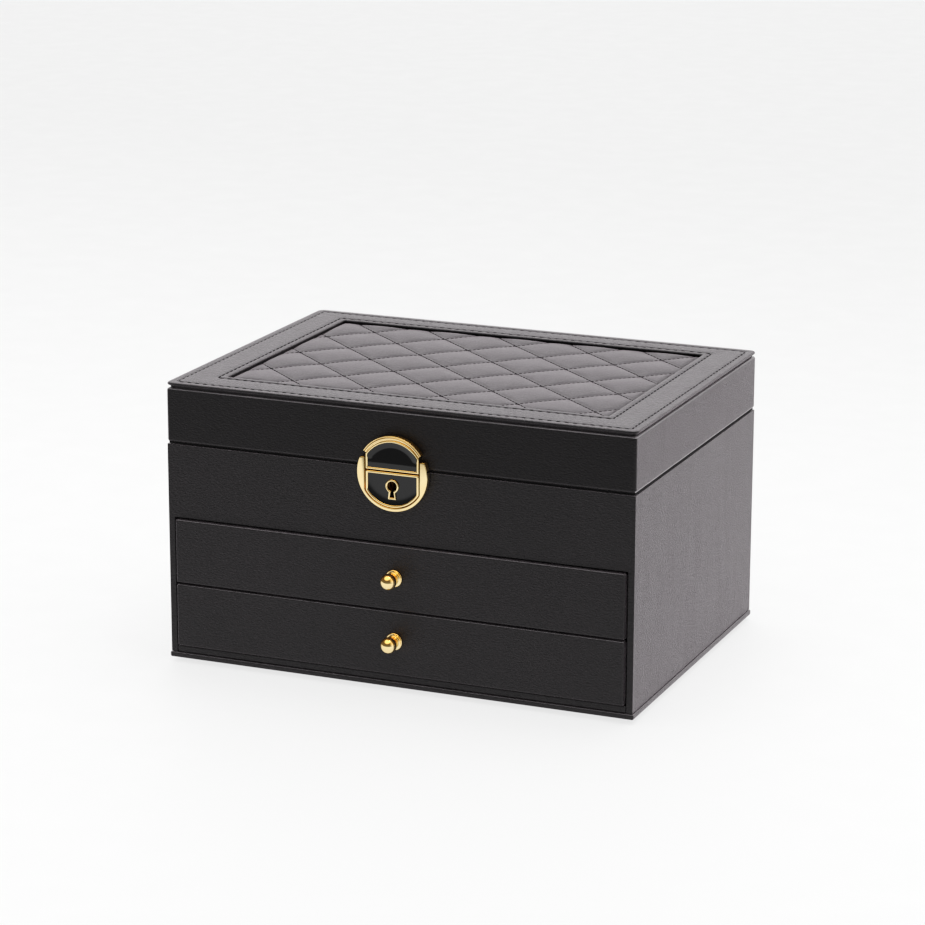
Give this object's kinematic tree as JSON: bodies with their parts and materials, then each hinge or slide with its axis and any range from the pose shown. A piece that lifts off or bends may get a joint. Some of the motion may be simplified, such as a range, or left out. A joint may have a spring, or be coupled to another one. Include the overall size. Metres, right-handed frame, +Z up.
{
  "type": "jewellery box",
  "caption": "Leather-covered jewellery case with a hinged mirror lid, quilted top, ring rolls, pull-out drawers and a key lock.",
  "frame": {"origin": "middle of the whole object's footprint, on the surface that the feet stand on", "axes": "+Z up, -Y towards the front with the lock and the drawers, +X to the right seen from the front"},
  "size_m": [0.2362, 0.188, 0.1379],
  "materials": {
    "leather": "fine-grained, satin",
    "velvet": "short velvet pile",
    "roll_fabric": "short velvet pile over foam",
    "gold": "polished gold plate",
    "enamel": "glossy black enamel",
    "steel": "satin",
    "brass": "satin",
    "mirror_glass": "silvered",
    "foot_felt": "felt"
  },
  "bodies": {
    "case": {"base_board": "leather", "foot_front_left": "foot_felt", "foot_front_right": "foot_felt", "foot_rear_left": "foot_felt", "foot_rear_right": "foot_felt", "side_panel_left": "leather", "side_panel_right": "leather", "rear_panel": "leather", "front_fascia": "leather", "bottom_rail": "leather", "case_floor": "velvet", "drawer_shelf": "velvet", "compartment_floor": "velvet", "compartment_lining": "velvet", "divider_long": "velvet", "divider_cross_left": "velvet", "divider_cross_right": "velvet", "ring_rolls": "roll_fabric", "lock_bezel": "gold", "lock_shield": "gold", "lock_inlay": "enamel", "keyhole_escutcheon": "gold", "lock_case": "steel", "hinge_leaf_body_left": "brass", "hinge_leaf_body_right": "brass", "hinge_pin_left": "steel", "hinge_pin_right": "steel"},
    "lid": {"lid_front": "leather", "lid_rear": "leather", "lid_left": "leather", "lid_right": "leather", "lid_top_board": "leather", "lid_panel_frame": "leather", "quilted_pad": "leather", "mirror": "mirror_glass", "mirror_surround": "velvet", "catch_plate": "gold", "catch_inlay": "enamel", "catch_hook": "steel", "hinge_leaf_lid_left": "brass", "hinge_leaf_lid_right": "brass"},
    "drawer_upper": {"drawer_upper_front": "leather", "drawer_upper_side_left": "velvet", "drawer_upper_side_right": "velvet", "drawer_upper_back": "velvet", "drawer_upper_bottom": "velvet", "drawer_upper_divider": "velvet", "drawer_upper_knob": "gold", "drawer_upper_knob_screw": "steel"},
    "drawer_lower": {"drawer_lower_front": "leather", "drawer_lower_side_left": "velvet", "drawer_lower_side_right": "velvet", "drawer_lower_back": "velvet", "drawer_lower_bottom": "velvet", "drawer_lower_divider": "velvet", "drawer_lower_knob": "gold", "drawer_lower_knob_screw": "steel"},
    "lock_turn": {"lock_rotor": "brass"},
    "lock_slide": {"lock_bolt": "steel"}
  },
  "joints": [
    {"name": "lid_hinge", "type": "hinge", "parent": "case", "child": "lid", "pos_m": [0, 0.09168, 0.1082], "axis": [-1, 0, 0], "range_deg": [0, 95]},
    {"name": "drawer_upper_slide", "type": "slide", "parent": "case", "child": "drawer_upper", "axis": [0, -1, 0], "range_m": [0, 0.115]},
    {"name": "drawer_lower_slide", "type": "slide", "parent": "case", "child": "drawer_lower", "axis": [0, -1, 0], "range_m": [0, 0.115]},
    {"name": "key_turn", "type": "hinge", "parent": "case", "child": "lock_turn", "pos_m": [0, -0.08203, 0.1007], "axis": [0, -1, 0], "range_deg": [0, 90]},
    {"name": "bolt_slide", "type": "slide", "parent": "case", "child": "lock_slide", "axis": [-1, 0, 0], "range_m": [0, 0.00311]}
  ],
  "couplings": [
    {"joint": "key_turn", "follows": "bolt_slide", "rad_per_m": 505}
  ]
}
